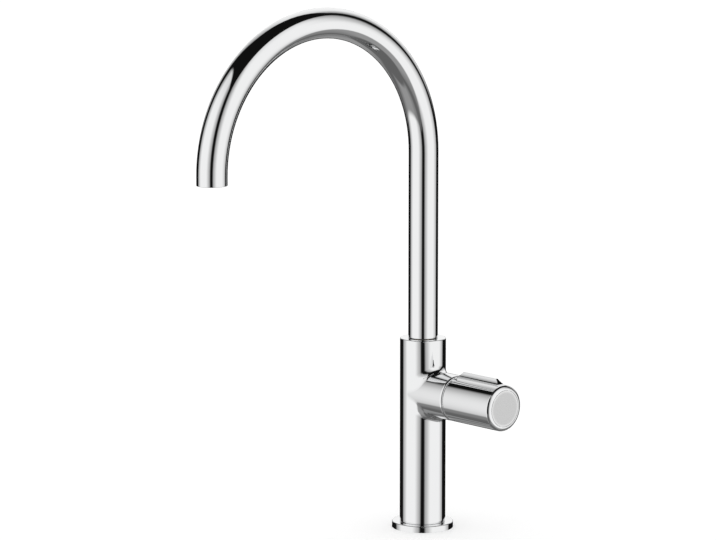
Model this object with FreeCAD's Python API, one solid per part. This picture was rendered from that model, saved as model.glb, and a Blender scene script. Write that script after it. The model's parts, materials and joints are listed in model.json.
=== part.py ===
import FreeCAD, Part
import math
import os

from FreeCAD import Rotation, Vector

# Kitchen mixer tap with a swivelling swan-neck spout and a turning side knob.
# Lengths are in millimetres and angles in degrees.
# The origin is on the deck at the middle of the foot ring, with +Z up. The spout
# reaches out along -Y and the knob points along +X.

# Body casting
body_diameter = 34.4
body_height = 144.9
body_wall = 4.2
body_edge = 0.8
body_foot_edge = 0.4
spigot_wall = 2.0
branch_diameter = 34.3
branch_length = 38.5
branch_wall = 2.85
branch_blend = 5.0
branch_side_blend = 9.0
branch_blend_limit = 40.0
branch_edge = 1.8

# Foot ring and its gasket
flange_diameter = 46.0
flange_height = 4.8
flange_edge = 0.9
gasket_width = 3.4
gasket_thickness = 2.4

# Water inlets, fixing stud hole and waterways
inlet_diameter = 8.9
inlet_depth = 10.0
inlet_spacing = 10.8
inlet_setback = 4.0
inlet_ceiling = 46.0
stud_hole_diameter = 6.8
stud_hole_depth = 14.0
stud_hole_offset = 7.5
waterway_diameter = 5.2
outlet_way_diameter = 6.4
outlet_setback = 5.3
inlet_port_drop = 6.6
riser_share = 0.9

# Spout
tube_diameter = 22.2
tube_wall = 1.2
tube_edge = 0.3
spout_reach = 203.8
riser_length = 140.5
outlet_drop = 6.2

# Swivel joint of the spout in the top of the body
counterbore_depth = 4.0
spout_glide_thickness = 1.0
spout_glide_wall = 0.6
spout_glide_rise = 0.25
nipple_flange_thickness = 3.35
nipple_flange_inset = 1.1
nipple_insert = 14.0
nipple_length = 17.5
nipple_bore_diameter = 11.6
socket_diameter = 18.0
socket_end_gap = 1.0
socket_wall = 4.2
spout_ring_cord = 1.6
spout_ring_first_drop = 9.6
spout_ring_spacing = 4.4
spout_ring_count = 2
lock_groove_drop = 4.2
lock_groove_width = 4.0
lock_groove_depth = 1.6
lock_screw_diameter = 5.0
lock_tip_diameter = 3.2
lock_screw_recess = 0.8
lock_key_width = 2.5
lock_key_depth = 3.0

# Jet regulator in the end of the spout
bush_wall = 1.3
bush_length = 13.0
bush_ledge_width = 1.8
bush_ledge_thickness = 1.5
aerator_seal_thickness = 1.6
aerator_wall = 1.4
aerator_recess = 0.4
aerator_lip_width = 0.9
aerator_lip_thickness = 1.2
aerator_insert_thickness = 3.6
aerator_hole_diameter = 1.9
aerator_hole_pitch = 2.4
aerator_hole_rings = 2
aerator_notch_width = 2.4
aerator_notch_depth = 0.9
aerator_notch_count = 4

# Mixing cartridge in the branch, from its seat outwards
seat_offset = 4.0
cartridge_base_thickness = 6.0
disc_thickness = 3.5
carrier_thickness = 3.5
stem_flange_thickness = 3.0
housing_wall = 5.0
skirt_wall = 2.4
port_seal_width = 1.0
port_seal_thickness = 1.4
locating_pin_diameter = 2.4
locating_pin_length = 2.5
locating_pin_angles = (-50, 50)
key_lug_width = 3.0
key_lug_depth = 1.6
key_lug_height = 2.0
key_lug_angles = (0, 180)
mixing_pocket_depth = 2.0
mixing_pocket_rim = 1.0
mixing_pocket_start = 34
mixing_pocket_span = 80
stem_diameter = 12.0
stem_square_share = 0.69
tongue_width = 6.0
tongue_height = 2.0
tongue_margin = 2.2
stem_ring_cord = 1.6
nut_width = 4.2
nut_thickness = 4.5
nut_notch_width = 3.0
nut_notch_depth = 1.8
nut_notch_count = 6
stop_height = 3.0
stop_lug_span = 40
stop_play = 1
turn_range = 120

# Knob
ring_gap = 0.5
ring_inset = 1.8
ring_width = 1.0
knob_diameter = 34.2
knob_length = 49.5
knob_wall = 2.4
knob_rim_bevel = 1.8
knob_rim_edge = 0.8
knob_rim_round = 3.2
knob_edge = 1.2
rim_width = 3.5
hub_recess = 3.0
hub_wall = 2.6
web_thickness = 3.5
stem_reach = 17.0
cap_thickness = 2.6
cap_ledge = 0.8
cap_edge = 0.2
cap_skirt_length = 5.0
cap_skirt_wall = 1.2
fin_offset = 2.1
fin_length = 42.4
fin_slope_run = 3.8
fin_height = 3.95
fin_end_height = 0.3
fin_thickness = 1.8
fin_root = 0.6
fin_side_round = 6.0
fin_edge = 0.3
knob_screw_diameter = 5.0
knob_screw_depth = 11.0
knob_screw_head_diameter = 8.8
knob_screw_head_height = 3.0
knob_key_width = 3.0
knob_key_depth = 1.8

# Clearances
running_clearance = 0.05
slip_clearance = 0.1
part_clearance = 0.4
face_clearance = 0.05
overrun = 1.0
match_tolerance = 0.001
crease_spot_shares = (0.25, 0.5, 0.75)
crease_stretches = 8

# Radii
body_radius = body_diameter / 2
branch_radius = branch_diameter / 2
bore_radius = branch_radius - branch_wall
lower_bore_radius = body_radius - body_wall
spigot_radius = lower_bore_radius + spigot_wall
flange_radius = flange_diameter / 2
flange_bore_radius = spigot_radius + slip_clearance
gasket_middle_radius = (flange_radius + flange_bore_radius) / 2
waterway_radius = waterway_diameter / 2
outlet_way_radius = outlet_way_diameter / 2
inlet_side = inlet_spacing / 2
tube_radius = tube_diameter / 2
tube_bore_radius = tube_radius - tube_wall
socket_radius = socket_diameter / 2
nipple_radius = socket_radius - running_clearance
nipple_flange_radius = tube_radius - nipple_flange_inset
glide_bore_radius = nipple_flange_radius + running_clearance
glide_radius = glide_bore_radius + spout_glide_wall
counterbore_radius = glide_radius + slip_clearance
bush_bore_radius = tube_bore_radius - bush_wall
aerator_bore_radius = bush_bore_radius - aerator_wall
cartridge_radius = bore_radius - slip_clearance
skirt_radius = cartridge_radius - skirt_wall
rotor_radius = skirt_radius - part_clearance
stem_radius = stem_diameter / 2
stem_bore_radius = stem_radius + running_clearance
stem_square = stem_diameter * stem_square_share
nut_bore_radius = bore_radius - nut_width
stop_radius = nut_bore_radius - part_clearance
knob_radius = knob_diameter / 2
knob_bore_radius = knob_radius - knob_wall
hub_radius = stem_square / math.sqrt(2) + hub_wall
cap_radius = knob_radius - rim_width
cap_well_radius = cap_radius - cap_ledge

# Places along the branch axis, from the cartridge seat to the end of the knob
base_end = seat_offset + cartridge_base_thickness
fixed_disc_end = base_end + disc_thickness
moving_disc_start = fixed_disc_end + face_clearance
moving_disc_end = moving_disc_start + disc_thickness
carrier_end = moving_disc_end + carrier_thickness
stem_flange_end = carrier_end + stem_flange_thickness
housing_wall_start = stem_flange_end + face_clearance
shoulder = housing_wall_start + housing_wall
nut_end = shoulder + nut_thickness
knob_start = branch_length + ring_gap
knob_end = knob_start + knob_length
stem_end = knob_start + stem_reach
web_end = stem_end + web_thickness
cap_seat = knob_end - cap_thickness
hub_start = knob_start + hub_recess

# Heights of the swivel joint, from the top of the body down and up again
counterbore_floor = body_height - counterbore_depth
glide_top = counterbore_floor + spout_glide_thickness
nipple_flange_start = glide_top + face_clearance
tube_start = nipple_flange_start + nipple_flange_thickness
nipple_end = counterbore_floor - nipple_length
socket_floor = nipple_end - socket_end_gap
lock_height = counterbore_floor - lock_groove_drop

# The branch stands under the spout's socket, with a wall between socket and cartridge
branch_height = socket_floor - socket_wall - bore_radius

# The spout rises from the body's top to its half circle and drops a little at the far end
arc_height = body_height + riser_length
outlet_height = arc_height - outlet_drop

# Heights of the jet regulator, from the end of the spout up
bush_end = outlet_height + bush_length
ledge_start = bush_end - bush_ledge_thickness
aerator_start = outlet_height + aerator_recess
aerator_end = ledge_start - aerator_seal_thickness

X = Vector(1, 0, 0)
Y = Vector(0, 1, 0)
Z = Vector(0, 0, 1)
branch_centre = Vector(0, 0, branch_height)
arc_centre = Vector(0, -spout_reach / 2, arc_height)


def upright(low, high, radius, x=0, y=0):
    """A round solid standing along Z."""
    return Part.makeCylinder(radius, high - low, Vector(x, y, low), Z)


def upright_ring(low, high, radius, bore, x=0, y=0):
    return upright(low, high, radius, x, y).cut(upright(low - overrun, high + overrun, bore, x, y))


def level(near, far, radius, y=0, rise=0):
    """A round solid lying along X, placed from the branch axis."""
    return Part.makeCylinder(radius, far - near, Vector(near, y, branch_height + rise), X)


def level_ring(near, far, radius, bore):
    return level(near, far, radius).cut(level(near - overrun, far + overrun, bore))


def level_sector(near, far, inner, outer, start, span):
    """Part of a ring about the branch axis, its angle counted from the top towards the front."""
    corners = [(near, inner), (far, inner), (far, outer), (near, outer), (near, inner)]
    outline = Part.makePolygon([Vector(x, 0, branch_height + r) for x, r in corners])
    face = Part.Face(outline)
    face.rotate(branch_centre, X, start)
    return face.revolve(branch_centre, X, span)


def level_bar(near, far, width, low, high, angle):
    """A square bar that points out from the branch axis at an angle from the top."""
    bar = Part.makeBox(far - near, width, high - low, Vector(near, -width / 2, branch_height + low))
    bar.rotate(branch_centre, X, angle)
    return bar


def hexagon(start, direction, width, length):
    """A six-sided prism; the direction is square to Z."""
    corner = Z * (width / math.sqrt(3))
    turns = [Rotation(direction, 60 * step) for step in range(7)]
    outline = Part.makePolygon([start + turn.multVec(corner) for turn in turns])
    return Part.Face(outline).extrude(direction * length)


def circles(shape, centre, radius):
    """The round edges of a shape that have this centre and radius."""
    found = []
    for edge in shape.Edges:
        curve = edge.Curve
        if not isinstance(curve, Part.Circle):
            continue
        same_size = abs(curve.Radius - radius) < match_tolerance
        if same_size and curve.Center.distanceToPoint(centre) < match_tolerance:
            found.append(edge)
    return found


def rounded(shape, centre, radius, size):
    return shape.makeFillet(size, circles(shape, centre, radius))


def bevelled(shape, centre, radius, size):
    return shape.makeChamfer(size, circles(shape, centre, radius))


def along_branch(x):
    return branch_centre + X * x


# Body and foot


def branch_crease(shape):
    """The edges where the branch runs into the upright body, each with its number in the shape."""
    found = []
    for number, edge in enumerate(shape.Edges, 1):
        low, high = edge.ParameterRange
        spots = [edge.valueAt(low + (high - low) * share) for share in crease_spot_shares]
        on_body = all(abs(math.hypot(p.x, p.y) - body_radius) < match_tolerance for p in spots)
        on_branch = all(
            abs(math.hypot(p.y, p.z - branch_height) - branch_radius) < match_tolerance for p in spots
        )
        if on_body and on_branch:
            found.append((number, edge))
    return found


def crease_ends(edge):
    return [edge.valueAt(parameter) - branch_centre for parameter in edge.ParameterRange]


def turns_forward(edge):
    first, last = crease_ends(edge)
    return first.cross(last).x > 0


def blend_radius(point):
    """The radius for the blend's width, which grows from the top and foot of the branch to its sides."""
    side_share = (point.y / branch_radius) ** 2
    width = branch_blend + (branch_side_blend - branch_blend) * side_share
    turn = math.acos(point.y ** 2 / (body_radius * branch_radius))
    return min(width / math.tan(turn / 2), branch_blend_limit)


def crease_radii(shape):
    """Each edge of the crease with the radius at its two ends, all taken round the same way."""
    crease = branch_crease(shape)
    forward = turns_forward(crease[0][1])
    radii = []
    for number, edge in crease:
        near, far = [blend_radius(point) for point in crease_ends(edge)]
        radii.append((number, near, far) if turns_forward(edge) == forward else (number, far, near))
    return radii


def blended(shape):
    """The crease filled with a blend whose radius changes along it."""
    document = FreeCAD.newDocument("blend")
    base = document.addObject("Part::Feature", "base")
    base.Shape = shape
    blend = document.addObject("Part::Fillet", "blend")
    blend.Base = base
    blend.Edges = crease_radii(shape)
    document.recompute()
    result = blend.Shape.copy()
    FreeCAD.closeDocument(document.Name)
    return result


def body_outside():
    column = upright(flange_height, body_height, body_radius)
    column.rotate(Vector(0, 0, 0), Z, 180)
    span = 360 / crease_stretches
    starts = [span * step for step in range(crease_stretches)]
    branch = [level_sector(0, branch_length, 0, branch_radius, start, span) for start in starts]
    shape = blended(column.fuse(branch))
    shape = rounded(shape, Z * body_height, body_radius, body_edge)
    shape = rounded(shape, Z * flange_height, body_radius, body_foot_edge)
    shape = rounded(shape, along_branch(branch_length), branch_radius, branch_edge)
    return shape.fuse(upright(0, flange_height, spigot_radius))


def inlet_way(side):
    """One inlet from its thread in the lower bore to its port in the cartridge seat."""
    port_height = branch_height - inlet_port_drop
    thread_end = inlet_ceiling + inlet_depth
    thread = upright(inlet_ceiling - overrun, thread_end, inlet_diameter / 2, -inlet_setback, side)
    riser = upright(inlet_ceiling, port_height, waterway_radius * riser_share, -inlet_setback, side)
    port_start = -inlet_setback - waterway_radius
    port = level(port_start, seat_offset + overrun, waterway_radius, side, -inlet_port_drop)
    return thread.fuse([riser, port])


def outlet_way():
    """The way of the mixed water from the cartridge up to the spout's socket."""
    port = level(-outlet_setback - outlet_way_radius, seat_offset + overrun, outlet_way_radius)
    riser_radius = outlet_way_radius * riser_share
    riser = upright(branch_height, socket_floor + overrun, riser_radius, -outlet_setback)
    return port.fuse(riser)


def locating_pins(length, clearance):
    """The pins that keep the cartridge from turning on its seat."""
    radius = locating_pin_diameter / 2 + clearance
    reach = cartridge_radius - locating_pin_diameter
    pins = []
    for angle in locating_pin_angles:
        turn = math.radians(angle)
        side = -reach * math.sin(turn)
        rise = reach * math.cos(turn)
        pins.append(level(seat_offset - length, seat_offset, radius, side, rise))
    return pins


def lock_thread():
    return Part.makeCylinder(lock_screw_diameter / 2, body_radius, Vector(0, 0, lock_height), Y)


def stud_hole():
    end = inlet_ceiling + stud_hole_depth
    return upright(inlet_ceiling - overrun, end, stud_hole_diameter / 2, stud_hole_offset)


def mixer_body():
    shape = body_outside()
    cuts = [
        upright(-overrun, inlet_ceiling, lower_bore_radius),
        stud_hole(),
        inlet_way(-inlet_side),
        inlet_way(inlet_side),
        outlet_way(),
        level(seat_offset, branch_length + overrun, bore_radius),
        upright(counterbore_floor, body_height + overrun, counterbore_radius),
        upright(socket_floor, body_height, socket_radius),
        lock_thread(),
    ]
    cuts += locating_pins(locating_pin_length + slip_clearance, slip_clearance)
    for tool in cuts:
        shape = shape.cut(tool)
    return shape


def gasket_ring(top):
    half = gasket_width / 2
    return upright_ring(0, top, gasket_middle_radius + half, gasket_middle_radius - half)


def base_flange():
    shape = upright(0, flange_height, flange_radius)
    shape = rounded(shape, Z * flange_height, flange_radius, flange_edge)
    shape = shape.cut(upright(-overrun, flange_height + overrun, flange_bore_radius))
    return shape.cut(gasket_ring(gasket_thickness))


def base_gasket():
    return gasket_ring(gasket_thickness)


# Spout and its swivel joint


def spout_rod(radius, extra):
    """The spout's bent line as a full rod: riser, half circle and drop."""
    riser = upright(tube_start - extra, arc_height, radius)
    drop = upright(outlet_height - extra, arc_height, radius, 0, -spout_reach)
    section = Part.Face(Part.Wire(Part.makeCircle(radius, Vector(0, 0, arc_height), Z)))
    bend = section.revolve(arc_centre, X, 180)
    return riser.fuse([bend, drop]).removeSplitter()


def spout_tube():
    outside = spout_rod(tube_radius, 0)
    for end in (Z * tube_start, Vector(0, -spout_reach, outlet_height)):
        outside = rounded(outside, end, tube_radius, tube_edge)
    return outside.cut(spout_rod(tube_bore_radius, overrun))


def spout_ring_heights():
    first = counterbore_floor - spout_ring_first_drop
    return [first - spout_ring_spacing * number for number in range(spout_ring_count)]


def spout_ring_radius():
    """From the spout's axis to the middle of a seal ring's cord."""
    return nipple_radius - spout_ring_cord / 2


def spout_nipple():
    shape = upright(nipple_end, nipple_flange_start, nipple_radius)
    shape = shape.fuse(upright(nipple_flange_start, tube_start, nipple_flange_radius))
    shape = shape.fuse(upright(tube_start, tube_start + nipple_insert, tube_bore_radius))
    half = spout_ring_cord / 2 + slip_clearance
    groove_radius = spout_ring_radius() - spout_ring_cord / 2
    for height in spout_ring_heights():
        shape = shape.cut(upright_ring(height - half, height + half, socket_radius, groove_radius))
    half = lock_groove_width / 2
    groove_radius = nipple_radius - lock_groove_depth
    shape = shape.cut(upright_ring(lock_height - half, lock_height + half, socket_radius, groove_radius))
    bore = upright(nipple_end - overrun, tube_start + nipple_insert + overrun, nipple_bore_diameter / 2)
    return shape.cut(bore)


def spout_o_rings():
    rings = []
    for height in spout_ring_heights():
        rings.append(Part.makeTorus(spout_ring_radius(), spout_ring_cord / 2, Z * height, Z))
    return Part.makeCompound(rings)


def spout_glide_ring():
    """A glide bush: a washer under the nipple's flange and a thin wall that shows below the tube."""
    wall_top = body_height + spout_glide_rise
    washer = upright_ring(counterbore_floor, glide_top, glide_radius, socket_radius + slip_clearance)
    wall = upright_ring(counterbore_floor, wall_top, glide_radius, glide_bore_radius)
    return washer.fuse(wall).removeSplitter()


def spout_lock_screw():
    """A set screw whose plain tip stands in the nipple's groove."""
    tip_start = nipple_radius - lock_groove_depth + part_clearance
    thread_start = socket_radius + part_clearance
    thread_end = body_radius - lock_screw_recess
    centre = Z * lock_height
    thread_length = thread_end - thread_start
    tip = Part.makeCylinder(lock_tip_diameter / 2, thread_start - tip_start, centre + Y * tip_start, Y)
    thread = Part.makeCylinder(lock_screw_diameter / 2, thread_length, centre + Y * thread_start, Y)
    key = hexagon(centre + Y * (thread_end - lock_key_depth), Y, lock_key_width, lock_key_depth + overrun)
    return tip.fuse(thread).cut(key)


# Jet regulator


def at_outlet(low, high, radius, bore):
    return upright_ring(low, high, radius, bore, 0, -spout_reach)


def outlet_bush():
    """A sleeve fixed in the straight end of the tube and eased where the tube starts to bend."""
    bend_radius = spout_reach / 2 - tube_bore_radius
    rise = max(0, bush_end - arc_height)
    ease = bend_radius - math.sqrt(bend_radius ** 2 - rise ** 2) + slip_clearance
    seat = at_outlet(outlet_height, min(arc_height, bush_end), tube_bore_radius, bush_bore_radius)
    sleeve = at_outlet(outlet_height, bush_end, tube_bore_radius - ease, bush_bore_radius)
    ledge = at_outlet(ledge_start, bush_end, bush_bore_radius, bush_bore_radius - bush_ledge_width)
    return seat.fuse([sleeve, ledge]).removeSplitter()


def aerator_seal():
    outer = bush_bore_radius - slip_clearance
    return at_outlet(aerator_end, ledge_start, outer, bush_bore_radius - bush_ledge_width)


def aerator_housing():
    lip_end = aerator_start + aerator_lip_thickness
    shape = at_outlet(aerator_start, aerator_end, bush_bore_radius, aerator_bore_radius)
    lip = at_outlet(aerator_start, lip_end, aerator_bore_radius, aerator_bore_radius - aerator_lip_width)
    shape = shape.fuse(lip).removeSplitter()
    centre = Vector(0, -spout_reach, aerator_start)
    length = aerator_wall + aerator_lip_width + overrun
    inner = aerator_bore_radius - aerator_lip_width - overrun
    for number in range(aerator_notch_count):
        corner = centre + Vector(inner, -aerator_notch_width / 2, -overrun)
        notch = Part.makeBox(length, aerator_notch_width, aerator_notch_depth + overrun, corner)
        notch.rotate(centre, Z, 360 * number / aerator_notch_count)
        shape = shape.cut(notch)
    return shape


def aerator_insert():
    """The jet plate, drilled in rings of six, twelve and so on round a middle hole."""
    low = aerator_start + aerator_lip_thickness
    high = low + aerator_insert_thickness
    shape = upright(low, high, aerator_bore_radius - slip_clearance, 0, -spout_reach)
    hole_radius = aerator_hole_diameter / 2
    for ring in range(aerator_hole_rings + 1):
        for number in range(max(1, 6 * ring)):
            turn = 2 * math.pi * number / max(1, 6 * ring)
            x = aerator_hole_pitch * ring * math.cos(turn)
            y = aerator_hole_pitch * ring * math.sin(turn) - spout_reach
            shape = shape.cut(upright(low - overrun, high + overrun, hole_radius, x, y))
    return shape


# Cartridge


def ports(near, far, extra=0):
    """The two inlets and the middle outlet, as holes through a piece of the cartridge."""
    radius = waterway_radius + extra
    inlets = [level(near, far, radius, y, -inlet_port_drop) for y in (-inlet_side, inlet_side)]
    return inlets + [level(near, far, outlet_way_radius + extra)]


def key_lugs(near, far, clearance):
    """Lugs on a rim that stand in the notches of the disc beside it."""
    low = rotor_radius - key_lug_depth - clearance
    high = rotor_radius + part_clearance if clearance else rotor_radius
    width = key_lug_width + 2 * clearance
    return [level_bar(near, far, width, low, high, angle) for angle in key_lug_angles]


def cartridge_base():
    shape = level(seat_offset, base_end, cartridge_radius)
    shape = shape.fuse(locating_pins(locating_pin_length, 0))
    shape = shape.fuse(key_lugs(base_end, base_end + key_lug_height, 0))
    for hole in ports(seat_offset - overrun, base_end + overrun):
        shape = shape.cut(hole)
    for recess in ports(seat_offset - overrun, seat_offset + port_seal_thickness, port_seal_width):
        shape = shape.cut(recess)
    return shape


def cartridge_seals():
    outsides = ports(seat_offset, seat_offset + port_seal_thickness, port_seal_width)
    holes = ports(seat_offset - overrun, seat_offset + port_seal_thickness + overrun)
    return Part.makeCompound([outside.cut(hole) for outside, hole in zip(outsides, holes)])


def fixed_disc():
    shape = level(base_end, fixed_disc_end, skirt_radius - slip_clearance)
    notch_end = base_end + key_lug_height + slip_clearance
    for tool in ports(base_end - overrun, fixed_disc_end + overrun):
        shape = shape.cut(tool)
    for tool in key_lugs(base_end - overrun, notch_end, slip_clearance):
        shape = shape.cut(tool)
    return shape


def moving_disc():
    """The turning disc; its pocket joins the inlets to the middle outlet as it comes round."""
    shape = level(moving_disc_start, moving_disc_end, rotor_radius)
    pocket_end = moving_disc_start + mixing_pocket_depth
    reach = rotor_radius - mixing_pocket_rim
    low = moving_disc_start - overrun
    pocket = level_sector(low, pocket_end, 0, reach, mixing_pocket_start, mixing_pocket_span)
    shape = shape.cut(pocket.fuse(level(low, pocket_end, outlet_way_radius)))
    notch_start = moving_disc_end - key_lug_height - slip_clearance
    for tool in key_lugs(notch_start, moving_disc_end + overrun, slip_clearance):
        shape = shape.cut(tool)
    return shape


def tongue(near, clearance):
    half = rotor_radius - tongue_margin + clearance
    return level_bar(near, carrier_end, tongue_width + 2 * clearance, -half, half, 90)


def disc_carrier():
    shape = level(moving_disc_end, carrier_end, rotor_radius)
    shape = shape.cut(tongue(carrier_end - tongue_height - slip_clearance, slip_clearance))
    return shape.fuse(key_lugs(moving_disc_end - key_lug_height, moving_disc_end, 0))


def stem_ring_radius():
    """From the stem's axis to the middle of its seal ring's cord."""
    return stem_radius - stem_ring_cord / 2


def stem_ring_middle():
    return housing_wall_start + housing_wall / 2


def cartridge_stem():
    square_start = shoulder + stop_height
    shape = level(carrier_end, stem_flange_end, rotor_radius)
    shape = shape.fuse(level(stem_flange_end, square_start, stem_radius))
    half = stem_square / 2
    shape = shape.fuse(level_bar(square_start, stem_end, stem_square, -half, half, 0))
    shape = shape.fuse(tongue(carrier_end - tongue_height, 0))
    lug_start = shoulder + slip_clearance
    lug = level_sector(lug_start, square_start, 0, stop_radius, -stop_lug_span / 2, stop_lug_span)
    shape = shape.fuse(lug)
    half = stem_ring_cord / 2 + slip_clearance
    middle = stem_ring_middle()
    groove_radius = stem_ring_radius() - stem_ring_cord / 2
    groove = level_ring(middle - half, middle + half, stem_bore_radius, groove_radius)
    thread = level(stem_end - knob_screw_depth, stem_end + overrun, knob_screw_diameter / 2)
    return shape.cut(groove).cut(thread)


def stem_o_ring():
    return Part.makeTorus(stem_ring_radius(), stem_ring_cord / 2, along_branch(stem_ring_middle()), X)


def cartridge_housing():
    shape = level(base_end, shoulder, cartridge_radius)
    shape = shape.cut(level(base_end - overrun, housing_wall_start, skirt_radius))
    start = stop_lug_span / 2 + turn_range + stop_play
    span = 360 - stop_lug_span - turn_range - 2 * stop_play
    inner = stem_radius + part_clearance
    stop = level_sector(shoulder, shoulder + stop_height, inner, stop_radius, start, span)
    return shape.cut(level(base_end, shoulder + overrun, stem_bore_radius)).fuse(stop)


def cartridge_nut():
    shape = level_ring(shoulder, nut_end, bore_radius, nut_bore_radius)
    for number in range(nut_notch_count):
        angle = 360 * number / nut_notch_count
        low = nut_bore_radius - overrun
        high = nut_bore_radius + nut_notch_depth
        notch = level_bar(shoulder - overrun, nut_end + overrun, nut_notch_width, low, high, angle)
        shape = shape.cut(notch)
    return shape


# Knob


def knob_glide_ring():
    outer = branch_radius - ring_inset
    return level_ring(branch_length, knob_start - face_clearance, outer, outer - ring_width)


def fin_section():
    """The rib's outline across the knob: a narrow top and hollow sides that run out into the knob."""
    half = fin_thickness / 2
    top = knob_radius + fin_height
    edge_reach = math.hypot(half, top)
    hollow_reach = knob_radius + fin_side_round
    lean = (hollow_reach ** 2 + edge_reach ** 2 - fin_side_round ** 2) / (2 * hollow_reach * edge_reach)
    turn = math.acos(lean) + math.asin(half / edge_reach)
    hollow = Vector(0, math.sin(turn), math.cos(turn)) * hollow_reach
    crown = Vector(0, half, top)
    foot = Vector(0, math.sin(turn), math.cos(turn)) * knob_radius
    middle = (crown + foot) / 2 - hollow
    waist = hollow + middle.normalize() * fin_side_round
    root = foot - Z * fin_root

    start = along_branch(knob_start + fin_offset)
    edges = []
    for side in (-1, 1):
        ends = [start + Vector(0, side * p.y, p.z) for p in (root, foot, waist, crown)]
        edges.append(Part.LineSegment(ends[0], ends[1]).toShape())
        edges.append(Part.Arc(*ends[1:]).toShape())
    for p in (root, crown):
        edges.append(Part.LineSegment(start + Vector(0, -p.y, p.z), start + p).toShape())
    return Part.Face(Part.Wire(Part.__sortEdges__(edges)))


def fin():
    """The grip rib on top of the knob, with sloping ends."""
    foot = branch_height + knob_radius
    low = foot - fin_root - fin_side_round
    end = foot + fin_end_height
    top = foot + fin_height
    near = knob_start + fin_offset
    far = near + fin_length
    corners = [(near, low), (far, low), (far, end)]
    corners += [(far - fin_slope_run, top), (near + fin_slope_run, top), (near, end), (near, low)]
    outline = Part.makePolygon([Vector(x, -knob_radius, z) for x, z in corners])
    side_view = Part.Face(outline).extrude(Y * knob_diameter)
    plate = fin_section().extrude(X * fin_length).common(side_view)
    upper = [edge for edge in plate.Edges if edge.BoundBox.ZMin > top - match_tolerance]
    long_edges = [edge for edge in upper if edge.BoundBox.YLength < match_tolerance]
    return plate.makeFillet(fin_edge, long_edges)


def knob():
    shape = level(knob_start, knob_end, knob_radius)
    shape = bevelled(shape, along_branch(knob_end), knob_radius, knob_rim_bevel)
    shape = rounded(shape, along_branch(knob_end - knob_rim_bevel), knob_radius, knob_rim_edge)
    shape = rounded(shape, along_branch(knob_end), knob_radius - knob_rim_bevel, knob_rim_round)
    shape = rounded(shape, along_branch(knob_start), knob_radius, knob_edge)
    shape = shape.fuse(fin())
    shape = shape.cut(level(knob_start - overrun, hub_start, knob_bore_radius))
    shape = shape.cut(level_ring(hub_start, stem_end, knob_bore_radius, hub_radius))
    shape = shape.cut(level(web_end, knob_end, cap_well_radius))
    shape = shape.cut(level(cap_seat, knob_end + overrun, cap_radius + slip_clearance))
    half = stem_square / 2 + slip_clearance
    shape = shape.cut(level_bar(hub_start - overrun, stem_end, 2 * half, -half, half, 0))
    return shape.cut(level(stem_end, web_end + overrun, knob_screw_diameter / 2 + slip_clearance))


def knob_cap():
    shape = level(cap_seat, knob_end, cap_radius)
    shape = bevelled(shape, along_branch(knob_end), cap_radius, cap_edge)
    outer = cap_well_radius - slip_clearance
    return shape.fuse(level_ring(cap_seat - cap_skirt_length, cap_seat, outer, outer - cap_skirt_wall))


def knob_screw():
    head_end = web_end + knob_screw_head_height
    shape = level(stem_end - knob_screw_depth, web_end, knob_screw_diameter / 2)
    shape = shape.fuse(level(web_end, head_end, knob_screw_head_diameter / 2))
    key = hexagon(along_branch(head_end - knob_key_depth), X, knob_key_width, knob_key_depth + overrun)
    return shape.cut(key)


pieces = [
    mixer_body, base_flange, base_gasket,
    spout_tube, spout_nipple, spout_o_rings, spout_glide_ring, spout_lock_screw,
    outlet_bush, aerator_seal, aerator_housing, aerator_insert,
    cartridge_base, cartridge_seals, fixed_disc, moving_disc, disc_carrier,
    cartridge_stem, stem_o_ring, cartridge_housing, cartridge_nut,
    knob_glide_ring, knob, knob_cap, knob_screw,
]

os.makedirs("parts", exist_ok=True)
for piece in pieces:
    shape = piece()
    print(piece.__name__, len(shape.Solids), shape.isValid(), round(shape.Volume, 1))
    shape.exportStep("parts/" + piece.__name__ + ".step")
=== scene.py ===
import json
import math

import bpy
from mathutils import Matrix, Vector


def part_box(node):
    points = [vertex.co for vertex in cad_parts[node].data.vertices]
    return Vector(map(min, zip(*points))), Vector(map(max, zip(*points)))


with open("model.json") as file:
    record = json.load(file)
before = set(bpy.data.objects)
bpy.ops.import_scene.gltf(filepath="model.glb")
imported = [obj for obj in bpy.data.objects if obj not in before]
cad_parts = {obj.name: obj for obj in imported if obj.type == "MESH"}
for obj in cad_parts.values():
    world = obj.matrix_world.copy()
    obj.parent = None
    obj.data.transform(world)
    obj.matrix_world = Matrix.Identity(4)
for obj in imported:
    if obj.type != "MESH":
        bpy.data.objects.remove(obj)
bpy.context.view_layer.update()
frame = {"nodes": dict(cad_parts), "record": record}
nodes = frame["nodes"]

# Lengths are in metres and angles in degrees, in the frame of the part: +Z up, the spout along -Y
# and the knob along +X. A share or a level of grey runs from 0 to 1.

# Camera, at the photograph's viewing angle
camera_place = Vector((2.0266, -1.8810, 0.6629))
camera_aim = Vector((0, -0.0653, 0.2032))
camera_lens = 189.03
camera_sensor = 36.0

# Floor
floor_half_width = 12.0
floor_grey = 0.80
floor_lift = 0.26

# Studio that the chrome mirrors: a left, a right and a back panel, tall and white.
# The height of a panel's top or foot is how far it rises or drops for each step towards the panel.
panel_headings = (-105.9, 15.6, 129.1)
panel_top = 1.6
right_panel_top = 1.34
panel_glow_foot = 0.5
panel_top_share = 0.8
panel_foot = -0.78
back_panel_foot = 0.02
back_floor_start = -0.55
panel_edge = 0.10
least_facing = 0.001
studio_black = 0.006

# Dark gaps between the panels, by their headings. The left gap is a little wider than the others,
# and one gap leans: its heading changes with the height of the direction.
left_gap = -172.3
left_gap_extra = 3.2
near_gap = -44.0
leaning_gap_high = 75.1
leaning_gap_low = 86.0
lean_high = 0.35
lean_low = -0.15
gap_dark_half = 5.5
gap_grey_half = 17
gap_glow_start = 14
gap_glow_end = 42
gap_glow_share = 0.5
half_turn = 180.0

# The studio's floor, which dimly mirrors the panels down to a steep angle
floor_mirror_dark = 0.135
floor_mirror_bright = 0.33
floor_mirror_end = -0.906
floor_mirror_start = -0.85

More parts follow.
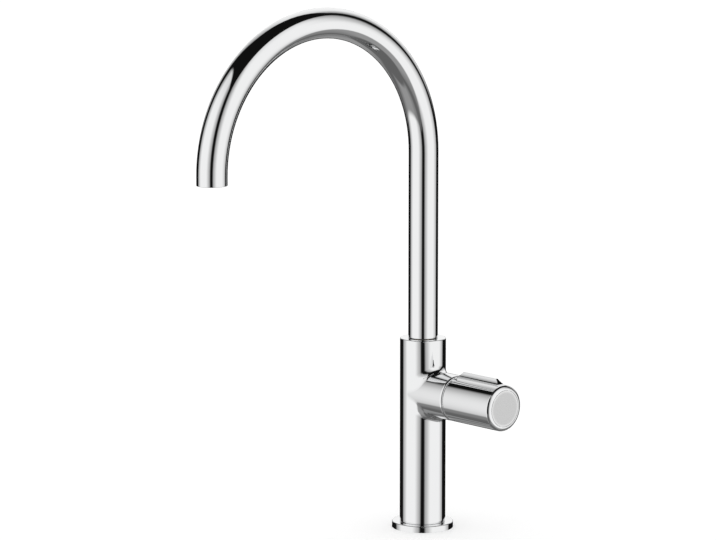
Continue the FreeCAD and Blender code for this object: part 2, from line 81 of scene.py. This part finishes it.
# Chrome plate, which thins out to bare brass inside the hose well of the body
chrome_dim = (0.845, 0.850, 0.856, 1)
chrome_bright = (0.868, 0.870, 0.872, 1)
chrome_roughness = (0.010, 0.024)
wiping_scale = 35
wiping_detail = 4
wiping_distortion = 0.6
speck_scale = 900
speck_range = (0.62, 0.75)
speck_roughness = 0.012
waviness_scale = 120
waviness_strength = 0.02
waviness_depth = 0.0002
well_radius = 0.0133
well_top = 0.062
well_plated_depth = 0.004
well_bare_depth = 0.014
bare_brass = (0.56, 0.40, 0.19, 1)
bare_roughness = 0.34

# Satin cap with a polished border; its lighter grey towards the border is a painted highlight
cap_satin_radius = 0.0110
cap_polish_and_highlight_radius = 0.0140
cap_satin_grey = 0.63
# Painted highlight: the lighter grey of the cap's border stands in for reflected light, not the
# plate's own colour
cap_polish_painted_highlight_grey = 0.82
cap_satin_roughness = 0.25
cap_polish_roughness = 0.08
cap_line_pitch = 0.00018
cap_line_roughness = 0.05
cap_line_strength = 0.02

# Turned metals: two tones, two roughnesses and the pitch of the tool marks
turned_metals = {
    "brass": {
        "tones": ((0.64, 0.46, 0.21, 1), (0.78, 0.60, 0.31, 1)),
        "roughness": (0.20, 0.36), "pitch": 0.00022,
    },
    "steel": {
        "tones": ((0.47, 0.47, 0.48, 1), (0.62, 0.62, 0.63, 1)),
        "roughness": (0.22, 0.38), "pitch": 0.00016,
    },
}
turning_depth = 0.00001
turning_strength = 0.3
turning_axes = {
    "spout_nipple": (0, 0, 1),
    "outlet_bush": (0, 0, 1),
    "cartridge_nut": (1, 0, 0),
    "cartridge_stem": (1, 0, 0),
    "spout_lock_screw": (0, 1, 0),
    "knob_screw": (1, 0, 0),
    "knob_cap": (1, 0, 0),
}

# Moulded, pressed and sintered pieces: two tones, two roughnesses, and the size and depth of the
# surface's grain
moulded = {
    "rubber": {
        "tones": ((0.016, 0.016, 0.017, 1), (0.040, 0.040, 0.040, 1)),
        "roughness": (0.55, 0.72), "grain": 0.00025, "depth": 0.00003,
    },
    "ceramic": {
        "tones": ((0.83, 0.82, 0.78, 1), (0.93, 0.92, 0.89, 1)),
        "roughness": (0.10, 0.20), "grain": 0.00012, "depth": 0.000004,
    },
    "cartridge_plastic": {
        "tones": ((0.70, 0.70, 0.68, 1), (0.80, 0.80, 0.78, 1)),
        "roughness": (0.36, 0.52), "grain": 0.0003, "depth": 0.00002,
    },
    "aerator_plastic": {
        "tones": ((0.62, 0.64, 0.65, 1), (0.72, 0.74, 0.75, 1)),
        "roughness": (0.30, 0.46), "grain": 0.0003, "depth": 0.00002,
    },
    "ring_plastic": {
        "tones": ((0.040, 0.040, 0.042, 1), (0.068, 0.068, 0.070, 1)),
        "roughness": (0.36, 0.50), "grain": 0.0002, "depth": 0.00002,
    },
}
grain_strength = 0.4

# Uneven tone of turned and moulded pieces: fine marks and larger clouds
fine_share = 0.4
cloud_share = 0.6
cloud_scale = 60
cloud_detail = 4
noise_low = 0.35
noise_high = 0.65

# Smoothing of the shading between the facets of a round face
largest_weight = 100


def add(tree, kind, inputs=None, **settings):
    """A new node. An input takes a plain value or another node's output."""
    node = tree.nodes.new(kind)
    for name, value in settings.items():
        setattr(node, name, value)
    set_inputs(tree, node.inputs, inputs or {})
    return node


def set_inputs(tree, sockets, values):
    for key, value in values.items():
        if isinstance(value, bpy.types.NodeSocket):
            tree.links.new(value, sockets[key])
        else:
            sockets[key].default_value = value


def calc(tree, operation, *values):
    return add(tree, "ShaderNodeMath", dict(enumerate(values)), operation=operation).outputs[0]


def vector_calc(tree, operation, *values):
    inputs = dict(enumerate(values))
    return add(tree, "ShaderNodeVectorMath", inputs, operation=operation).outputs


def dot(tree, vector, direction):
    return vector_calc(tree, "DOT_PRODUCT", vector, direction)["Value"]


def separate(tree, vector):
    return add(tree, "ShaderNodeSeparateXYZ", {0: vector}).outputs


def ramp(tree, value, low, high, to_low=0.0, to_high=1.0, kind="SMOOTHSTEP"):
    """A value carried from one range to another, with no overshoot."""
    inputs = {
        "Value": value,
        "From Min": low,
        "From Max": high,
        "To Min": to_low,
        "To Max": to_high,
    }
    return add(tree, "ShaderNodeMapRange", inputs, interpolation_type=kind).outputs["Result"]


def mix(tree, share, first, second):
    """A colour between two others."""
    node = add(tree, "ShaderNodeMix", data_type="RGBA")
    sockets = {socket.name: socket for socket in node.inputs if socket.enabled}
    set_inputs(tree, sockets, {"Factor": share, "A": first, "B": second})
    return next(socket for socket in node.outputs if socket.enabled)


def grey(level):
    return (level, level, level, 1)


def heading_vector(heading):
    angle = math.radians(heading)
    return (math.cos(angle), math.sin(angle), 0)


# Materials


def new_material(name):
    material = bpy.data.materials.new(name)
    material.use_nodes = True
    return material, material.node_tree, material.node_tree.nodes["Principled BSDF"]


def object_place(tree):
    return add(tree, "ShaderNodeTexCoord").outputs["Object"]


def noise(tree, place, scale, detail=2.0, distortion=0.0):
    inputs = {"Vector": place, "Scale": scale, "Detail": detail, "Distortion": distortion}
    return add(tree, "ShaderNodeTexNoise", inputs).outputs["Fac"]


def noise_share(tree, place, scale, detail=2.0):
    return ramp(tree, noise(tree, place, scale, detail), noise_low, noise_high)


def bump(tree, height, strength, distance):
    inputs = {"Height": height, "Strength": strength, "Distance": distance}
    return add(tree, "ShaderNodeBump", inputs).outputs["Normal"]


def turned_place(tree, name):
    """How far a point is along a turned piece's axis, and how far out from it."""
    low, high = (Vector(corner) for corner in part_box(name))
    axis = turning_axes[name]
    offset = vector_calc(tree, "SUBTRACT", object_place(tree), (low + high) / 2)["Vector"]
    across = vector_calc(tree, "CROSS_PRODUCT", offset, axis)["Vector"]
    out = vector_calc(tree, "LENGTH", across)["Value"]
    return dot(tree, offset, axis), out


def tool_marks(tree, along, out, pitch):
    """Fine rings round a turned piece's axis, as a value from 0 to 1."""
    line = add(tree, "ShaderNodeCombineXYZ", {"X": along, "Y": out}).outputs["Vector"]
    return noise_share(tree, line, 1 / pitch, 1.0)


def uneven_tone(tree, fine, cloud):
    fine_part = calc(tree, "MULTIPLY", fine, fine_share)
    return calc(tree, "ADD", fine_part, calc(tree, "MULTIPLY", cloud, cloud_share))


def bare_metal(tree, place, wiped):
    """How bare the plate leaves the metal: nothing outside the hose well, all of it deep inside."""
    x, y, z = separate(tree, place)
    square = calc(tree, "ADD", calc(tree, "MULTIPLY", x, x), calc(tree, "MULTIPLY", y, y))
    within = calc(tree, "LESS_THAN", calc(tree, "SQRT", square), well_radius)
    in_well = calc(tree, "MULTIPLY", within, calc(tree, "LESS_THAN", z, well_top))
    depth = calc(tree, "ADD", z, calc(tree, "MULTIPLY", wiped, well_plated_depth))
    return calc(tree, "MULTIPLY", ramp(tree, depth, well_plated_depth, well_bare_depth), in_well)


def chrome(name):
    """Mirror chrome plate: nearly clean, with faint wiping marks in its gloss."""
    material, tree, shader = new_material(name)
    place = object_place(tree)
    wiped = noise(tree, place, wiping_scale, wiping_detail, wiping_distortion)
    specks = ramp(tree, noise(tree, place, speck_scale), *speck_range, 0, speck_roughness)
    gloss = calc(tree, "ADD", ramp(tree, wiped, noise_low, noise_high, *chrome_roughness), specks)
    bare = bare_metal(tree, place, wiped)
    plate = mix(tree, wiped, chrome_dim, chrome_bright)
    waves = noise(tree, place, waviness_scale)
    set_inputs(tree, shader.inputs, {
        "Base Color": mix(tree, bare, plate, bare_brass),
        "Metallic": 1.0,
        "Roughness": calc(tree, "ADD", gloss, calc(tree, "MULTIPLY", bare, bare_roughness)),
        "Normal": bump(tree, waves, waviness_strength, waviness_depth),
    })
    return material


def satin_cap(name):
    """Chrome with fine turned lines, satin in the middle and polished at its border, where a
    lighter base colour is painted as a highlight.
    """
    material, tree, shader = new_material("satin_chrome")
    along, out = turned_place(tree, name)
    lines = tool_marks(tree, along, out, cap_line_pitch)
    # Share of the border: lower roughness for the real polish, lighter colour for the painted
    # highlight
    polish_and_highlight = ramp(tree, out, cap_satin_radius, cap_polish_and_highlight_radius)
    worn = calc(tree, "MULTIPLY", lines, ramp(tree, polish_and_highlight, 0, 1, cap_line_roughness, 0))
    satin = ramp(tree, polish_and_highlight, 0, 1, cap_satin_roughness, cap_polish_roughness)
    set_inputs(tree, shader.inputs, {
        # Painted highlight: the base colour grows lighter towards the border
        "Base Color": mix(tree, polish_and_highlight, grey(cap_satin_grey), grey(cap_polish_painted_highlight_grey)),
        "Metallic": 1.0,
        "Roughness": calc(tree, "ADD", satin, worn),
        "Normal": bump(tree, lines, cap_line_strength, turning_depth),
    })
    return material


def turned_metal(slot, name):
    """Bare metal with the marks of the turning tool and a slightly uneven tone."""
    look = turned_metals[slot]
    material, tree, shader = new_material("turned_" + slot + "_" + name)
    marks = tool_marks(tree, *turned_place(tree, name), look["pitch"])
    cloud = noise_share(tree, object_place(tree), cloud_scale, cloud_detail)
    set_inputs(tree, shader.inputs, {
        "Base Color": mix(tree, uneven_tone(tree, marks, cloud), *look["tones"]),
        "Metallic": 1.0,
        "Roughness": ramp(tree, marks, 0, 1, *look["roughness"]),
        "Normal": bump(tree, marks, turning_strength, turning_depth),
    })
    return material


def moulded_finish(slot):
    """A matt surface with the grain of its mould and a slightly uneven tone."""
    look = moulded[slot]
    material, tree, shader = new_material(slot)
    place = object_place(tree)
    grain = noise_share(tree, place, 1 / look["grain"])
    cloud = noise_share(tree, place, cloud_scale, cloud_detail)
    tone = uneven_tone(tree, grain, cloud)
    set_inputs(tree, shader.inputs, {
        "Base Color": mix(tree, tone, *look["tones"]),
        "Roughness": ramp(tree, tone, 0, 1, *look["roughness"]),
        "Normal": bump(tree, grain, grain_strength, look["depth"]),
    })
    return material


shared_finishes = {slot: moulded_finish(slot) for slot in moulded}
shared_finishes["chrome"] = chrome("chrome_plate")


def finish_of(name, slot):
    if slot in turned_metals:
        return turned_metal(slot, name)
    return satin_cap(name) if slot == "cap_chrome" else shared_finishes[slot]


for subpart in frame["record"]["subparts"]:
    node = nodes[subpart["node"]]
    node.data.materials.clear()
    node.data.materials.append(finish_of(subpart["node"], subpart["material_slot"]))
    smooth = node.modifiers.new("true_normals", "WEIGHTED_NORMAL")
    smooth.mode = "FACE_AREA_WITH_ANGLE"
    smooth.weight = largest_weight
    smooth.keep_sharp = True


# Studio


def gap_distance(tree, heading, gap, extra=0.0):
    """How far a heading is from a gap's middle, in degrees, the short way round."""
    turn = calc(tree, "WRAP", calc(tree, "SUBTRACT", heading, gap), half_turn, -half_turn)
    return calc(tree, "SUBTRACT", calc(tree, "ABSOLUTE", turn), extra)


def panel_light(tree, x, y, z):
    """How bright the panels are at a heading: black in the gaps, dimmer next to them."""
    heading = calc(tree, "DEGREES", calc(tree, "ARCTAN2", y, x))
    leaning_gap = ramp(tree, z, lean_low, lean_high, leaning_gap_low, leaning_gap_high)
    from_left = gap_distance(tree, heading, left_gap, left_gap_extra)
    from_near = gap_distance(tree, heading, near_gap)
    from_leaning = gap_distance(tree, heading, leaning_gap)
    nearest = calc(tree, "MINIMUM", calc(tree, "MINIMUM", from_left, from_near), from_leaning)
    edge = ramp(tree, nearest, gap_dark_half, gap_grey_half)
    glow = ramp(tree, nearest, gap_glow_start, gap_glow_end, gap_glow_share, 1)
    return calc(tree, "MULTIPLY", edge, glow)


def soft_step(tree, value, start):
    """From 0 to 1 over the width of a panel's soft edge."""
    low = calc(tree, "SUBTRACT", start, panel_edge)
    return ramp(tree, value, low, calc(tree, "ADD", start, panel_edge))


def studio_light(tree):
    """How bright the studio is in a direction: panels above, a dim floor below them."""
    direction = add(tree, "ShaderNodeTexCoord").outputs["Generated"]
    x, y, z = separate(tree, direction)
    panel = panel_light(tree, x, y, z)

    left, right, back = (dot(tree, direction, heading_vector(turn)) for turn in panel_headings)
    front = calc(tree, "MAXIMUM", left, right)
    facing = calc(tree, "MAXIMUM", calc(tree, "MAXIMUM", front, back), least_facing)
    height = calc(tree, "DIVIDE", z, facing)
    to_right = calc(tree, "GREATER_THAN", right, calc(tree, "MAXIMUM", left, back))
    to_back = calc(tree, "GREATER_THAN", back, front)

    top = ramp(tree, to_right, 0, 1, panel_top, right_panel_top, "LINEAR")
    below_top = calc(tree, "SUBTRACT", 1, soft_step(tree, height, top))
    top_glow = ramp(tree, height, top, panel_glow_foot, panel_top_share, 1)
    back_lit = soft_step(tree, height, back_panel_foot)
    lit = calc(tree, "MAXIMUM", calc(tree, "SUBTRACT", 1, to_back), back_lit)
    shade = calc(tree, "MULTIPLY", calc(tree, "MULTIPLY", panel, below_top), top_glow)
    walls = calc(tree, "MAXIMUM", calc(tree, "MULTIPLY", shade, lit), studio_black)

    foot = ramp(tree, to_back, 0, 1, panel_foot, back_floor_start, "LINEAR")
    above_foot = soft_step(tree, height, foot)
    steepness = ramp(tree, z, floor_mirror_end, floor_mirror_start)
    mirrored = calc(tree, "MULTIPLY", panel, steepness)
    floor = ramp(tree, mirrored, 0, 1, floor_mirror_dark, floor_mirror_bright, "LINEAR")
    return mix(tree, above_foot, floor, walls)


def make_world():
    """White for the camera and for matt surfaces; what is glossy mirrors the studio."""
    world = bpy.data.worlds.new("studio")
    world.use_nodes = True
    world.cycles.sampling_method = "NONE"
    tree = world.node_tree
    glossy = add(tree, "ShaderNodeLightPath").outputs["Is Glossy Ray"]
    colour = mix(tree, glossy, grey(1), studio_light(tree))
    tree.links.new(colour, tree.nodes["Background"].inputs["Color"])
    bpy.context.scene.world = world


def make_floor():
    """A white floor that keeps the tap's soft shadow."""
    half = floor_half_width
    corners = [(-half, -half, 0), (half, -half, 0), (half, half, 0), (-half, half, 0)]
    mesh = bpy.data.meshes.new("floor")
    mesh.from_pydata(corners, [], [(0, 1, 2, 3)])
    material, tree, shader = new_material("white_floor")
    camera_ray = add(tree, "ShaderNodeLightPath").outputs["Is Camera Ray"]
    set_inputs(tree, shader.inputs, {
        "Base Color": grey(floor_grey),
        "Roughness": 1.0,
        "Specular IOR Level": 0.0,
        "Emission Color": grey(1),
        "Emission Strength": calc(tree, "MULTIPLY", camera_ray, floor_lift),
    })
    mesh.materials.append(material)
    floor = bpy.data.objects.new("floor", mesh)
    floor.visible_glossy = False
    bpy.context.scene.collection.objects.link(floor)


def make_camera():
    camera = bpy.data.objects.new("camera", bpy.data.cameras.new("camera"))
    camera.location = camera_place
    camera.rotation_mode = "QUATERNION"
    camera.rotation_quaternion = (camera_aim - camera_place).to_track_quat("-Z", "Y")
    camera.data.sensor_width = camera_sensor
    camera.data.lens = camera_lens
    bpy.context.scene.collection.objects.link(camera)
    bpy.context.scene.camera = camera


make_world()
make_floor()
make_camera()
bpy.context.scene.view_settings.view_transform = "Standard"
